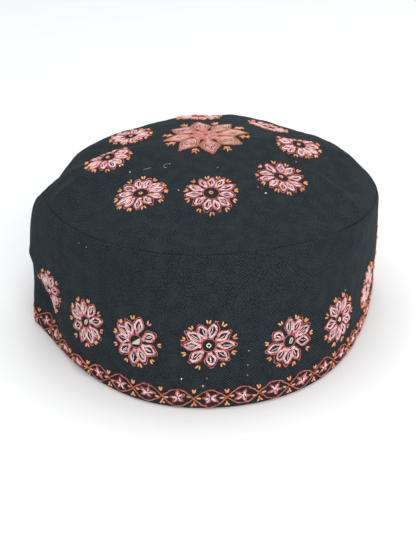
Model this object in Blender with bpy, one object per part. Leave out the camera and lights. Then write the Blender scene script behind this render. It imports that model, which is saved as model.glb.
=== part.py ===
# A soft brimless cap of dark cotton twill, 570 mm round the head.
#
# It has two pieces of cloth: a side band with a turned-up hem, and an oval crown sewn to the band's
# top edge. The cap was stored folded flat from front to back, so the crown keeps a ridge that runs
# from left to right, the rim keeps a corner at each side, and the band is dented by its left corner.
#
# Lengths are metres and angles are degrees. Left and right are those of someone who faces the
# front of the cap, which looks along -Y: left is -X and right is +X. An angle goes round the head,
# from 0 at the front to 90 at the right and -90 at the left. The rim stands on Z = 0.

from collections import namedtuple

import bmesh
import bpy
import numpy as np

# The rim and the top seam in plan. Each is an oval with its own reach to either side. A pinch of 1
# is a plain ellipse, and a larger pinch flattens the quarter and sharpens its corner at the side.
Oval = namedtuple(
    "Oval",
    "left right length pinch_front_left pinch_front_right pinch_back_left pinch_back_right",
)
RIM = Oval(0.0835, 0.0850, 0.1004, 1.90, 1.62, 1.50, 1.50)
SEAM = Oval(0.0780, 0.0800, 0.0936, 1.04, 1.04, 1.50, 1.25)
SEAM_SHIFT = 0.0047
LEFT_CORNER_FORWARD = 0.009

# The top seam's height above the rim, and how it rises and falls round the head.
SEAM_HEIGHT = 0.0647
FRONT_RISE = 0.0057
RIGHT_DROP = 0.0075
BACK_LEFT_DROP = 0.0060
BACK_LEFT_ANGLE = -135
BACK_LEFT_SPREAD = 35

# How far the band swells out below the seam before it rolls over into it.
ROLL_FRONT = 0.0010
ROLL_BACK = 0.0040
ROLL_LEFT = 0.0046
ROLL_RIGHT = 0.0010
# It grows from the rim with the first power of the height, and turns in under the seam with the last.
ROLL_SCALE = 1.6
ROLL_FIRST_POWER = 1.2
ROLL_LAST_POWER = 5

# The crown's dome, the slope of its edge, and the ridge that the flat fold left across it.
CROWN_RISE = 0.0187
CROWN_POWER = 1.93
EDGE_ROLL = 0.0020
EDGE_POWER = 10
FOLD_FALL = 0.0070
FOLD_SOFTNESS = 0.1
FOLD_FORWARD = 0.0060
RIDGE_LIFT = 0.0040
RIDGE_FRONT = 0.0220
RIDGE_BACK = 0.0050
# The ridge starts this far out from the middle of the crown, takes this much more to reach its
# whole height, and fades towards the seam with this power. The crown's other folds fade as well.
RIDGE_START = 0.15
RIDGE_GROWTH = 0.35
RIDGE_EDGE_POWER = 8
FOLD_EDGE_POWER = 6

# Soft dents and swellings of the band: heights are parts of the way from the rim to the seam.
WallFold = namedtuple("WallFold", "name angle height reach_round reach_up push")
WALL_FOLDS = (
    WallFold("hollow_by_left_corner", -70, 0.24, 10, 0.22, -0.0055),
    WallFold("slack_at_back", 165, 0.45, 28, 0.30, -0.0025),
    WallFold("swelling_at_back_left", -150, 0.40, 22, 0.35, 0.0020),
)

# The crease that runs up and back over the band's left side, in front of the hollow.
Crease = namedtuple("Crease", "foot_angle foot_height head_angle head_height width push")
LEFT_CREASE = Crease(-48, 0.10, -80, 0.62, 0.006, 0.0025)
CREASE_SOFTNESS = 0.387

# The stiff hem holds the rim's own line: folds reach their whole push at this part of the height.
HOLD_HEIGHT = 0.12
HOLD_POWER = 0.7

# Low swellings and a dip of the crown behind its ridge, placed from the middle of the crown.
CrownFold = namedtuple("CrownFold", "name x y reach_x reach_y lift")
CROWN_FOLDS = (
    CrownFold("swelling_at_top", 0.010, 0.045, 0.040, 0.030, 0.0012),
    CrownFold("swelling_back_left", -0.042, 0.032, 0.030, 0.028, 0.0024),
    CrownFold("dip_back_right", 0.045, 0.040, 0.020, 0.024, -0.0025),
    CrownFold("left_shoulder", -0.062, 0.030, 0.022, 0.024, 0.0081),
    CrownFold("right_shoulder", 0.068, 0.018, 0.018, 0.030, 0.0062),
)

# The cloth: two layers with their interlining, doubled at the hem and at the seam allowance.
WALL = 0.0018
HEM_WALL = 0.0030
HEM_HEIGHT = 0.0120
HEM_CHAMFER = 0.0008
ALLOWANCE_WALL = 0.0010
ALLOWANCE_HEIGHT = 0.0060
GAP = 0.0003

# The plain look of the solids, which the scene dresses in cloth.
BAND_COLOUR = (0.019, 0.023, 0.028, 1)
CROWN_COLOUR = (0.021, 0.026, 0.031, 1)
ROUGHNESS = 0.9
SHARP_ANGLE = 50

# How finely the solids are cut. The band's rows lie closer together near its seam, and no row of
# its inside comes nearer to the hem's edge than HEM_MARGIN. That edge slopes over HEM_STEP.
STEPS_ROUND = 96
BAND_ROWS = 12
CROWN_ROWS = 12
ROW_POWER = 1.25
HEM_MARGIN = 0.03
HEM_STEP = 0.02
SMALL = 1e-4

# Normals are taken from points this far apart, and the joint's from rings beside the seam.
NEAR_ANGLE = 0.5
NEAR_RING = 0.01
BESIDE_SEAM = 0.97

ANGLES = np.linspace(-180, 180, STEPS_ROUND, endpoint=False)


def turn(angle):
    """An angle brought into -180 to 180 degrees."""
    return (angle + 180) % 360 - 180


def plan(angle, oval, corner_forward=0.0):
    """The oval's X and Y at each angle."""
    s, c = np.sin(np.radians(angle)), np.cos(np.radians(angle))
    front = np.where(s < 0, oval.pinch_front_left, oval.pinch_front_right)
    back = np.where(s < 0, oval.pinch_back_left, oval.pinch_back_right)
    power = 1 + (np.where(c > 0, front, back) - 1) * s**2
    x = np.where(s < 0, oval.left, oval.right) * s
    y = -oval.length * np.sign(c) * np.abs(c) ** power
    return x, y - corner_forward * np.where(s < 0, s**4, 0)


def seam_height(angle):
    """Height of the top seam above the rim."""
    s, c = np.sin(np.radians(angle)), np.cos(np.radians(angle))
    back_left = np.exp(-((turn(angle - BACK_LEFT_ANGLE) / BACK_LEFT_SPREAD) ** 2))
    return SEAM_HEIGHT + FRONT_RISE * c - RIGHT_DROP * np.where(s > 0, s**2, 0) - BACK_LEFT_DROP * back_left


def roll(angle, height):
    """Swelling of the band below its seam."""
    s, c = np.sin(np.radians(angle)), np.cos(np.radians(angle))
    side = np.where(s < 0, ROLL_LEFT, ROLL_RIGHT) * s**2
    end = np.where(c > 0, ROLL_FRONT, ROLL_BACK) * c**2
    turn_in = np.sqrt(np.clip(1 - height**ROLL_LAST_POWER, 0, 1))
    return (side + end) * ROLL_SCALE * height**ROLL_FIRST_POWER * turn_in


def crease(angle, height, fold):
    """A ridge along a slanted line, drawn on the band laid flat."""
    per_degree = 2 * np.pi * (RIM.left + RIM.length) / 2 / 360
    run = (fold.head_angle - fold.foot_angle) * per_degree
    rise = (fold.head_height - fold.foot_height) * SEAM_HEIGHT
    across = turn(angle - fold.foot_angle) * per_degree
    up = (height - fold.foot_height) * SEAM_HEIGHT
    along = np.clip((across * run + up * rise) / (run**2 + rise**2), 0, 1)
    away = np.hypot(across - along * run, up - along * rise) / fold.width
    return fold.push * np.exp(CREASE_SOFTNESS - np.hypot(away, CREASE_SOFTNESS))


def wall_point(angle, height):
    """A point of the band's outer face: height is 0 at the rim and 1 at the seam."""
    x0, y0 = plan(angle, RIM, LEFT_CORNER_FORWARD)
    x1, y1 = plan(angle, SEAM)
    push = crease(angle, height, LEFT_CREASE)
    for fold in WALL_FOLDS:
        away_round = turn(angle - fold.angle) / fold.reach_round
        away_up = (height - fold.height) / fold.reach_up
        push = push + fold.push * np.exp(-(away_round**2) - away_up**2)
    push = push * np.clip(height / HOLD_HEIGHT, 0, 1) ** HOLD_POWER + roll(angle, height)
    x = x0 + (x1 + SEAM_SHIFT - x0) * height + push * np.sin(np.radians(angle))
    y = y0 + (y1 - y0) * height - push * np.cos(np.radians(angle))
    return np.stack([x, y, height * seam_height(angle)], axis=-1)


def crown_point(angle, reach):
    """A point of the crown's outer face: reach is 0 at its middle and 1 at the seam."""
    edge = wall_point(angle, np.ones_like(angle, dtype=float))
    x, y = reach * (edge[..., 0] - SEAM_SHIFT), reach * edge[..., 1]
    from_fold = (reach * plan(angle, SEAM)[1] + FOLD_FORWARD * (1 - reach)) / SEAM.length
    fall = FOLD_FALL * (np.hypot(from_fold, FOLD_SOFTNESS) - FOLD_SOFTNESS) * (1 - reach**2)
    z = SEAM_HEIGHT + (seam_height(angle) - SEAM_HEIGHT) * reach**2 - fall
    z = z + CROWN_RISE * (1 - reach**CROWN_POWER) + EDGE_ROLL * (1 - reach**EDGE_POWER)
    # The ridge is sharp behind and slow in front, and fades at the middle and at the seam.
    strength = np.clip((np.abs(x) / SEAM.right - RIDGE_START) / RIDGE_GROWTH, 0, 1)
    strength = strength * (1 - reach**RIDGE_EDGE_POWER)
    behind = y + FOLD_FORWARD
    ridge = np.where(behind < 0, np.exp(behind / RIDGE_FRONT), np.exp(-behind / RIDGE_BACK))
    z = z + RIDGE_LIFT * strength * ridge
    for fold in CROWN_FOLDS:
        away = ((x - fold.x) / fold.reach_x) ** 2 + ((y - fold.y) / fold.reach_y) ** 2
        z = z + fold.lift * np.exp(-away) * (1 - reach**FOLD_EDGE_POWER)
    return np.stack([x + SEAM_SHIFT, y, z], axis=-1)


def outward(surface, at):
    """Unit normals of a surface round the ring at this height or reach."""
    low, high = max(at - NEAR_RING, 0.0), min(at + NEAR_RING, 1.0)
    around = surface(ANGLES + NEAR_ANGLE, at) - surface(ANGLES - NEAR_ANGLE, at)
    along = surface(ANGLES, high) - surface(ANGLES, low)
    normal = np.cross(around, along)
    if surface is crown_point:
        normal = -normal
    return normal / np.linalg.norm(normal, axis=1, keepdims=True)


def ring(surface, at, depth):
    """A ring of points below the surface by depth."""
    return surface(ANGLES, at) - depth * outward(surface, at)


def seam_ring(depth, from_seam=0.0):
    """A ring of the mitred joint between band and crown, set back along the crown from the seam."""
    on_wall, on_crown = outward(wall_point, BESIDE_SEAM), outward(crown_point, BESIDE_SEAM)
    middle = on_wall + on_crown
    middle /= np.linalg.norm(middle, axis=1, keepdims=True)
    slant = np.sum(middle * on_crown, axis=1, keepdims=True)
    reach = 1 - from_seam / SEAM.left
    return crown_point(ANGLES, reach) - depth * middle / slant


def rim_ring(depth, rise=0.0):
    """A level ring at the hem's foot, on its flat underside unless it is raised."""
    normal = outward(wall_point, SMALL)
    normal[:, 2] = 0
    normal /= np.linalg.norm(normal, axis=1, keepdims=True)
    points = wall_point(ANGLES, 0.0) - depth * normal
    points[:, 2] = rise
    return points


def band_rings():
    """The band's section as rings, from the outer foot up, over the top edge and down the inside."""
    hem = HEM_HEIGHT / SEAM_HEIGHT
    foot = HEM_CHAMFER / SEAM_HEIGHT
    rows = 1 - np.linspace(1, 0, BAND_ROWS) ** ROW_POWER
    outer = [ring(wall_point, max(row, foot), 0) for row in rows[:-1]]
    inner = [ring(wall_point, row, WALL) for row in rows[-2::-1] if row > hem + HEM_MARGIN]
    hem_rows = (hem, hem - HEM_STEP)
    turned_up = [ring(wall_point, row, depth) for row, depth in zip(hem_rows, (WALL, HEM_WALL))]
    top = [seam_ring(0), seam_ring(WALL)]
    under = [rim_ring(HEM_WALL, HEM_CHAMFER), rim_ring(HEM_WALL - HEM_CHAMFER), rim_ring(HEM_CHAMFER)]
    return outer + top + inner + turned_up + under


def crown_rings():
    """The crown's section as rings, from its middle out, down the seam allowance and back inside."""
    rows = np.linspace(0, 1, CROWN_ROWS + 1)[1:-1]
    outer = [ring(crown_point, row, 0) for row in rows] + [seam_ring(0, GAP)]
    lowest = 1 - ALLOWANCE_HEIGHT / SEAM_HEIGHT
    halfway = (1 + lowest) / 2
    below = WALL + GAP
    allowance = [seam_ring(below, GAP)]
    allowance += [ring(wall_point, row, below) for row in (halfway, lowest)]
    back = [ring(wall_point, row, below + ALLOWANCE_WALL) for row in (lowest, halfway)]
    inner = [ring(crown_point, row, WALL) for row in rows[-1::-1]]
    return outer + allowance + back + inner


def solid(name, rings, poles=()):
    """Joins the rings by faces. Two poles close the first and last ring, and without them they meet."""
    mesh = bpy.data.meshes.new(name)
    shape = bmesh.new()
    loops = [[shape.verts.new(point) for point in points] for points in rings]
    pairs = list(zip(loops, loops[1:]))
    if not poles:
        pairs.append((loops[-1], loops[0]))
    for lower, upper in pairs:
        for i in range(STEPS_ROUND):
            j = (i + 1) % STEPS_ROUND
            shape.faces.new((lower[i], lower[j], upper[j], upper[i]))
    for pole, loop in zip(poles, (loops[0], loops[-1])):
        tip = shape.verts.new(pole)
        for i in range(STEPS_ROUND):
            shape.faces.new((tip, loop[i], loop[(i + 1) % STEPS_ROUND]))
    bmesh.ops.recalc_face_normals(shape, faces=shape.faces)
    shape.to_mesh(mesh)
    shape.free()
    mesh.shade_smooth()
    mesh.set_sharp_from_angle(angle=np.radians(SHARP_ANGLE))
    piece = bpy.data.objects.new(name, mesh)
    bpy.context.collection.objects.link(piece)
    return piece


def cloth(name, colour):
    """A plain dark cotton."""
    material = bpy.data.materials.new(name)
    material.use_nodes = True
    shader = material.node_tree.nodes["Principled BSDF"]
    shader.inputs["Base Color"].default_value = colour
    shader.inputs["Roughness"].default_value = ROUGHNESS
    shader.inputs["Metallic"].default_value = 0.0
    return material


def make_band():
    band = solid("side_band", band_rings())
    band.data.materials.append(cloth("band_twill", BAND_COLOUR))
    return band


def make_crown():
    top = crown_point(np.zeros(1), SMALL)[0]
    crown = solid("crown", crown_rings(), poles=(top, top - [0, 0, WALL]))
    crown.data.materials.append(cloth("crown_twill", CROWN_COLOUR))
    return crown


def stand_at_origin(pieces):
    """Moves the points so that the middle of the cap's underside is the origin."""
    points = np.array([v.co for piece in pieces for v in piece.data.vertices])
    middle = (points.min(axis=0) + points.max(axis=0)) / 2
    for piece in pieces:
        for vertex in piece.data.vertices:
            vertex.co.x -= middle[0]
            vertex.co.y -= middle[1]


def main():
    for old in list(bpy.data.objects):
        bpy.data.objects.remove(old)
    stand_at_origin([make_band(), make_crown()])


main()
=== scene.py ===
from collections import namedtuple

import bmesh
import bpy
import numpy as np
from mathutils import Matrix, Vector


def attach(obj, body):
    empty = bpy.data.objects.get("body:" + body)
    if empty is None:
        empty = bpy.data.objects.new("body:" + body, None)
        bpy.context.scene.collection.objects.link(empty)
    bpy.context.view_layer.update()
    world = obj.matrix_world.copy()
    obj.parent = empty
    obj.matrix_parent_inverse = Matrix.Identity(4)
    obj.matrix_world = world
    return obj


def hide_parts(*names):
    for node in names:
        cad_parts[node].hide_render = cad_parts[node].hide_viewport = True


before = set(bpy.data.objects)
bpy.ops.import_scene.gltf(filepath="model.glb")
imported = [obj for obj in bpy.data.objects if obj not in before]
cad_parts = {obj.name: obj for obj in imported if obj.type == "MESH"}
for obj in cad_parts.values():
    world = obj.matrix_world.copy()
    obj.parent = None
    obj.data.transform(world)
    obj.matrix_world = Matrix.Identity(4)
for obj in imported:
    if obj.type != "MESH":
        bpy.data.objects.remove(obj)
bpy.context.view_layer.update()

# The looks of a soft brimless cap of dark cotton twill with hand embroidery.
#
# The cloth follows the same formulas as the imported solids, in metres and degrees. An angle goes
# round the cap from 0 at the front, which looks along -Y, to 90 at +X and -90 at -X. The motifs are
# drawn flat in millimetres, laid on the cloth, and then stitched along their lines.

MM = 0.001

# The cap's shape.

Oval = namedtuple(
    "Oval", "left right length pinch_front_left pinch_front_right pinch_back_left pinch_back_right"
)
RIM = Oval(0.0835, 0.0850, 0.1004, 1.90, 1.62, 1.50, 1.50)
SEAM = Oval(0.0780, 0.0800, 0.0936, 1.04, 1.04, 1.50, 1.25)
SEAM_SHIFT = 0.0047
LEFT_CORNER_FORWARD = 0.009

SEAM_HEIGHT = 0.0647
FRONT_RISE = 0.0057
RIGHT_DROP = 0.0075
BACK_LEFT_DROP = 0.0060
BACK_LEFT_ANGLE = -135
BACK_LEFT_SPREAD = 35

ROLL_FRONT = 0.0010
ROLL_BACK = 0.0040
ROLL_LEFT = 0.0046
ROLL_RIGHT = 0.0010
ROLL_SCALE = 1.6
ROLL_FIRST_POWER = 1.2
ROLL_LAST_POWER = 5

CROWN_RISE = 0.0187
CROWN_POWER = 1.93
EDGE_ROLL = 0.0020
EDGE_POWER = 10
FOLD_FALL = 0.0070
FOLD_SOFTNESS = 0.1
FOLD_FORWARD = 0.0060
RIDGE_LIFT = 0.0040
RIDGE_FRONT = 0.0220
RIDGE_BACK = 0.0050
RIDGE_START = 0.15
RIDGE_GROWTH = 0.35
RIDGE_EDGE_POWER = 8
FOLD_EDGE_POWER = 6

WallFold = namedtuple("WallFold", "name angle height reach_round reach_up push")
WALL_FOLDS = (
    WallFold("hollow_by_left_corner", -70, 0.24, 10, 0.22, -0.0055),
    WallFold("slack_at_back", 165, 0.45, 28, 0.30, -0.0025),
    WallFold("swelling_at_back_left", -150, 0.40, 22, 0.35, 0.0020),
)

Crease = namedtuple("Crease", "foot_angle foot_height head_angle head_height width push")
LEFT_CREASE = Crease(-48, 0.10, -80, 0.62, 0.006, 0.0025)
CREASE_SOFTNESS = 0.387
HOLD_HEIGHT = 0.12
HOLD_POWER = 0.7

CrownFold = namedtuple("CrownFold", "name x y reach_x reach_y lift")
CROWN_FOLDS = (
    CrownFold("swelling_at_top", 0.010, 0.045, 0.040, 0.030, 0.0012),
    CrownFold("swelling_back_left", -0.042, 0.032, 0.030, 0.028, 0.0024),
    CrownFold("dip_back_right", 0.045, 0.040, 0.020, 0.024, -0.0025),
    CrownFold("left_shoulder", -0.062, 0.030, 0.022, 0.024, 0.0081),
    CrownFold("right_shoulder", 0.068, 0.018, 0.018, 0.030, 0.0062),
)


def turn(angle):
    """An angle brought into -180 to 180 degrees."""
    return (angle + 180) % 360 - 180


def sin_cos(degrees):
    """Sine and cosine of an angle in degrees."""
    return np.sin(np.radians(degrees)), np.cos(np.radians(degrees))


def plan(angle, oval, corner_forward=0.0):
    """The oval's X and Y at each angle."""
    s, c = sin_cos(angle)
    front = np.where(s < 0, oval.pinch_front_left, oval.pinch_front_right)
    back = np.where(s < 0, oval.pinch_back_left, oval.pinch_back_right)
    power = 1 + (np.where(c > 0, front, back) - 1) * s**2
    x = np.where(s < 0, oval.left, oval.right) * s
    y = -oval.length * np.sign(c) * np.abs(c) ** power
    return x, y - corner_forward * np.where(s < 0, s**4, 0)


def seam_height(angle):
    """Height of the top seam above the rim."""
    s, c = sin_cos(angle)
    back_left = np.exp(-((turn(angle - BACK_LEFT_ANGLE) / BACK_LEFT_SPREAD) ** 2))
    right_drop = RIGHT_DROP * np.where(s > 0, s**2, 0)
    return SEAM_HEIGHT + FRONT_RISE * c - right_drop - BACK_LEFT_DROP * back_left


def roll(angle, height):
    """Swelling of the band below its seam."""
    s, c = sin_cos(angle)
    side = np.where(s < 0, ROLL_LEFT, ROLL_RIGHT) * s**2
    end = np.where(c > 0, ROLL_FRONT, ROLL_BACK) * c**2
    turn_in = np.sqrt(np.clip(1 - height**ROLL_LAST_POWER, 0, 1))
    return (side + end) * ROLL_SCALE * height**ROLL_FIRST_POWER * turn_in


def crease(angle, height, fold):
    """A ridge along a slanted line, drawn on the band laid flat."""
    per_degree = 2 * np.pi * (RIM.left + RIM.length) / 2 / 360
    run = (fold.head_angle - fold.foot_angle) * per_degree
    rise = (fold.head_height - fold.foot_height) * SEAM_HEIGHT
    across = turn(angle - fold.foot_angle) * per_degree
    up = (height - fold.foot_height) * SEAM_HEIGHT
    along = np.clip((across * run + up * rise) / (run**2 + rise**2), 0, 1)
    away = np.hypot(across - along * run, up - along * rise) / fold.width
    return fold.push * np.exp(CREASE_SOFTNESS - np.hypot(away, CREASE_SOFTNESS))


def wall_point(angle, height):
    """A point of the band's outer face: height is 0 at the rim and 1 at the seam."""
    angle, height = np.broadcast_arrays(np.asarray(angle, float), np.asarray(height, float))
    x0, y0 = plan(angle, RIM, LEFT_CORNER_FORWARD)
    x1, y1 = plan(angle, SEAM)
    push = crease(angle, height, LEFT_CREASE)
    for fold in WALL_FOLDS:
        away_round = turn(angle - fold.angle) / fold.reach_round
        away_up = (height - fold.height) / fold.reach_up
        push = push + fold.push * np.exp(-(away_round**2) - away_up**2)
    push = push * np.clip(height / HOLD_HEIGHT, 0, 1) ** HOLD_POWER + roll(angle, height)
    x = x0 + (x1 + SEAM_SHIFT - x0) * height + push * np.sin(np.radians(angle))
    y = y0 + (y1 - y0) * height - push * np.cos(np.radians(angle))
    return np.stack([x, y, height * seam_height(angle)], axis=-1) - SHIFT


def crown_polar(angle, reach):
    """A point of the crown's outer face: reach is 0 at its middle and 1 at the seam."""
    angle, reach = np.broadcast_arrays(np.asarray(angle, float), np.asarray(reach, float))
    edge = wall_point(angle, np.ones_like(angle)) + SHIFT
    x, y = reach * (edge[..., 0] - SEAM_SHIFT), reach * edge[..., 1]
    from_fold = (reach * plan(angle, SEAM)[1] + FOLD_FORWARD * (1 - reach)) / SEAM.length
    fall = FOLD_FALL * (np.hypot(from_fold, FOLD_SOFTNESS) - FOLD_SOFTNESS) * (1 - reach**2)
    z = SEAM_HEIGHT + (seam_height(angle) - SEAM_HEIGHT) * reach**2 - fall
    z = z + CROWN_RISE * (1 - reach**CROWN_POWER) + EDGE_ROLL * (1 - reach**EDGE_POWER)
    strength = np.clip((np.abs(x) / SEAM.right - RIDGE_START) / RIDGE_GROWTH, 0, 1)
    strength = strength * (1 - reach**RIDGE_EDGE_POWER)
    behind = y + FOLD_FORWARD
    ridge = np.where(behind < 0, np.exp(behind / RIDGE_FRONT), np.exp(-behind / RIDGE_BACK))
    z = z + RIDGE_LIFT * strength * ridge
    for fold in CROWN_FOLDS:
        away = ((x - fold.x) / fold.reach_x) ** 2 + ((y - fold.y) / fold.reach_y) ** 2
        z = z + fold.lift * np.exp(-away) * (1 - reach**FOLD_EDGE_POWER)
    return np.stack([x + SEAM_SHIFT, y, z], axis=-1) - SHIFT


def unit(vectors):
    return vectors / np.linalg.norm(vectors, axis=-1, keepdims=True)


# The solids were moved so that the middle of their box is the origin, and the cloth is as well.
SHIFT = np.zeros(3)
TABLE_ANGLES = np.linspace(-180, 180, 1441)
band_outline = wall_point(*np.meshgrid(TABLE_ANGLES, np.linspace(0, 1, 41)))
SHIFT[:2] = (band_outline.min(axis=(0, 1)) + band_outline.max(axis=(0, 1)))[:2] / 2

# The crown's edge seen from above, as bearing and distance from the crown's middle.
crown_edge = wall_point(TABLE_ANGLES, 1.0) + SHIFT - [SEAM_SHIFT, 0, 0]
EDGE_BEARING = np.unwrap(np.arctan2(crown_edge[:, 0], -crown_edge[:, 1]))
EDGE_BEARING[0], EDGE_BEARING[-1] = -np.pi, np.pi
EDGE_REACH = np.hypot(crown_edge[:, 0], crown_edge[:, 1])


def crown_point(x, y):
    """A point of the crown's outer face, from its place seen from above."""
    bearing = np.arctan2(x, -y)
    angle = np.interp(bearing, EDGE_BEARING, TABLE_ANGLES)
    return crown_polar(angle, np.hypot(x, y) / np.interp(bearing, EDGE_BEARING, EDGE_REACH))


# The cloth's small relief.

WALL = 0.0018
HEM_WALL = 0.0030
HEM_HEIGHT = 0.0120
HEM_ROUNDING = 0.0009

SEAM_DEPTH = 0.0007
SEAM_WIDTH = 0.0006
PUCKER_HEIGHT = 0.00008
PUCKER_PITCH = 0.0034
PUCKER_REACH = 0.0045
RIPPLE_HEIGHT = 0.00022
RIPPLE_LENGTHS = (0.034, 0.026, 0.019, 0.014, 0.011, 0.009)
CROWN_SLACK = 1.4
RELIEF_FROM_RIM = 0.25
BESIDE_SEAM = 0.97


# Soft folds that the photo shows, in millimetres. Each runs from one place to another: a place on the
# crown is its X and Y from the middle, and a place on the band is its arc and height.
Fold = namedtuple("Fold", "name u0 v0 u1 v1 width push")
CROWN_SOFT_FOLDS = (
    Fold("valley_at_left", -72, -39, -46, -26, 4.5, -2.0),
    Fold("ridge_at_left", -75, -21, -50, -14, 5.0, 1.5),
    Fold("ridge_at_right", 42, -35, 66, -57, 5.0, 1.8),
    Fold("swelling_in_front", -34, -58, 34, -52, 15.0, 2.2),
    Fold("hollow_by_seam", -24, -82, 26, -81, 8.0, -0.9),
)
BAND_SOFT_FOLDS = (
    Fold("swelling_under_seam", -30, 50, 32, 50, 11.0, 1.9),
    Fold("dent_at_left", -62, 62, -48, 55, 3.5, -1.3),
    Fold("slack_at_left", -95, 44, -68, 56, 9.0, -1.6),
)
SEAM_HOLD = 0.006


def soft_folds(u, v, folds):
    """Height of the soft folds at places given in metres."""
    height = np.zeros(np.shape(u))
    for fold in folds:
        run, rise = (fold.u1 - fold.u0) * MM, (fold.v1 - fold.v0) * MM
        across, up = u - fold.u0 * MM, v - fold.v0 * MM
        along = np.clip((across * run + up * rise) / (run**2 + rise**2), 0, 1)
        away = np.hypot(across - along * run, up - along * rise) / (fold.width * MM)
        height += fold.push * MM * np.exp(-(away**2))
    return height


def ripple(points):
    """Slack of the cloth: long low waves in six fixed directions."""
    rng = np.random.default_rng(4)
    height = np.zeros(points.shape[:-1])
    for length in RIPPLE_LENGTHS:
        direction = unit(rng.normal(size=3))
        phase = rng.uniform(0, 2 * np.pi)
        share = length / RIPPLE_LENGTHS[0]
        height += share * np.sin(points @ direction * 2 * np.pi / length + phase)
    return RIPPLE_HEIGHT * height


def held(from_seam):
    """How freely the cloth moves: not at all at the seam, and fully some way from it."""
    return 1 - np.exp(-((from_seam / SEAM_HOLD) ** 2))


def pucker(along, from_seam):
    """Gathers that the seam's stitches pull into the cloth beside it."""
    wander = np.sin(along / 0.021) + np.sin(along / 0.0137 + 1.3)
    wave = np.sin(2 * np.pi * along / PUCKER_PITCH + 1.5 * wander)
    near = np.exp(-from_seam / PUCKER_REACH) * (1 - np.exp(-from_seam / 0.001))
    return PUCKER_HEIGHT * wave * near * (1 + 0.5 * np.sin(along / 0.009))


def wall_normal(angle, height):
    low, high = np.clip(height - 0.01, 0, 1), np.clip(height + 0.01, 0, 1)
    around = wall_point(angle + 0.5, height) - wall_point(angle - 0.5, height)
    return unit(np.cross(around, wall_point(angle, high) - wall_point(angle, low)))


def crown_normal(x, y):
    step = 0.0004
    across = crown_point(x + step, y) - crown_point(x - step, y)
    back = crown_point(x, y + step) - crown_point(x, y - step)
    return unit(np.cross(across, back))


def seam_arc(angle):
    """Length of the seam from the front to this angle."""
    return np.interp(turn(angle), TABLE_ANGLES, SEAM_ARC)


def joint_normal(angle):
    """Between the band's face and the crown's, at the seam."""
    edge = crown_polar(angle, BESIDE_SEAM) + SHIFT
    crown_side = crown_normal(edge[..., 0] - SEAM_SHIFT, edge[..., 1])
    return unit(wall_normal(angle, BESIDE_SEAM) + crown_side)


def band_face(angle, height):
    """The band's outer face with its relief, and its normals."""
    angle, height = np.broadcast_arrays(np.asarray(angle, float), np.asarray(height, float))
    base, normal = wall_point(angle, height), wall_normal(angle, height)
    from_seam = (1 - height) * seam_height(angle)
    arc = np.interp(angle, TABLE_ANGLES, RIM_ARC)
    folds = soft_folds(arc, height * seam_height(angle), BAND_SOFT_FOLDS) * held(from_seam)
    relief = (ripple(base) + folds) * np.clip(height / RELIEF_FROM_RIM, 0, 1)
    relief = relief + pucker(seam_arc(angle), from_seam)
    groove = SEAM_DEPTH * np.exp(-((from_seam / SEAM_WIDTH) ** 2))
    relief = relief * (1 - np.exp(-from_seam / SEAM_WIDTH))
    return base + relief[..., None] * normal - groove[..., None] * joint_normal(angle), normal


def crown_face(x, y):
    """The crown's outer face with its relief, and its normals."""
    base, normal = crown_point(x, y), crown_normal(x, y)
    bearing = np.arctan2(x, -y)
    angle = np.interp(bearing, EDGE_BEARING, TABLE_ANGLES)
    from_seam = np.clip(np.interp(bearing, EDGE_BEARING, EDGE_REACH) - np.hypot(x, y), 0, None)
    folds = soft_folds(x, y, CROWN_SOFT_FOLDS) * held(from_seam)
    relief = ripple(base) * CROWN_SLACK + folds + pucker(seam_arc(angle), from_seam)
    groove = SEAM_DEPTH * np.exp(-((from_seam / SEAM_WIDTH) ** 2))
    relief = relief * (1 - np.exp(-from_seam / SEAM_WIDTH))
    return base + relief[..., None] * normal - groove[..., None] * joint_normal(angle), normal


def arc_length(points):
    steps = np.linalg.norm(np.diff(points, axis=0), axis=1)
    return np.concatenate([[0], np.cumsum(steps)])


RIM_ARC = arc_length(wall_point(TABLE_ANGLES, 0.0))
RIM_ROUND = RIM_ARC[-1]
RIM_ARC = RIM_ARC - np.interp(0, TABLE_ANGLES, RIM_ARC)
SEAM_ARC = arc_length(wall_point(TABLE_ANGLES, 1.0))
SEAM_ARC = SEAM_ARC - np.interp(0, TABLE_ANGLES, SEAM_ARC)


def rim_angle(arc):
    """The angle at this distance along the rim from the front."""
    arc = (np.asarray(arc) - RIM_ARC[0]) % RIM_ROUND + RIM_ARC[0]
    return np.interp(arc, RIM_ARC, TABLE_ANGLES)


# Colours and materials.


def linear(hex_colour):
    """A sRGB hex colour as the linear colour that the shaders take."""
    values = [int(hex_colour[i : i + 2], 16) / 255 for i in (1, 3, 5)]
    turned = [v / 12.92 if v <= 0.04045 else ((v + 0.055) / 1.055) ** 2.4 for v in values]
    return (*turned, 1.0)


def add(tree, kind, links=(), **settings):
    """Adds a node. A setting is one of its properties or an input's value, and a link feeds an input."""
    node = tree.nodes.new(kind)
    for name, value in settings.items():
        if name.startswith("in_"):
            key = name[3:].replace("_", " ")
            node.inputs[int(key) if key.isdigit() else key].default_value = value
        else:
            setattr(node, name, value)
    for key, source in dict(links).items():
        tree.links.new(source, node.inputs[key])
    return node


def new_material(name, roughness, sheen, sheen_tint, specular=0.3):
    material = bpy.data.materials.new(name)
    material.use_nodes = True
    shader = material.node_tree.nodes["Principled BSDF"]
    values = {
        "Roughness": roughness,
        "Specular IOR Level": specular,
        "Sheen Weight": sheen,
        "Sheen Roughness": 0.45,
        "Sheen Tint": linear(sheen_tint),
    }
    for socket, value in values.items():
        shader.inputs[socket].default_value = value
    return material, material.node_tree, shader


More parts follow.
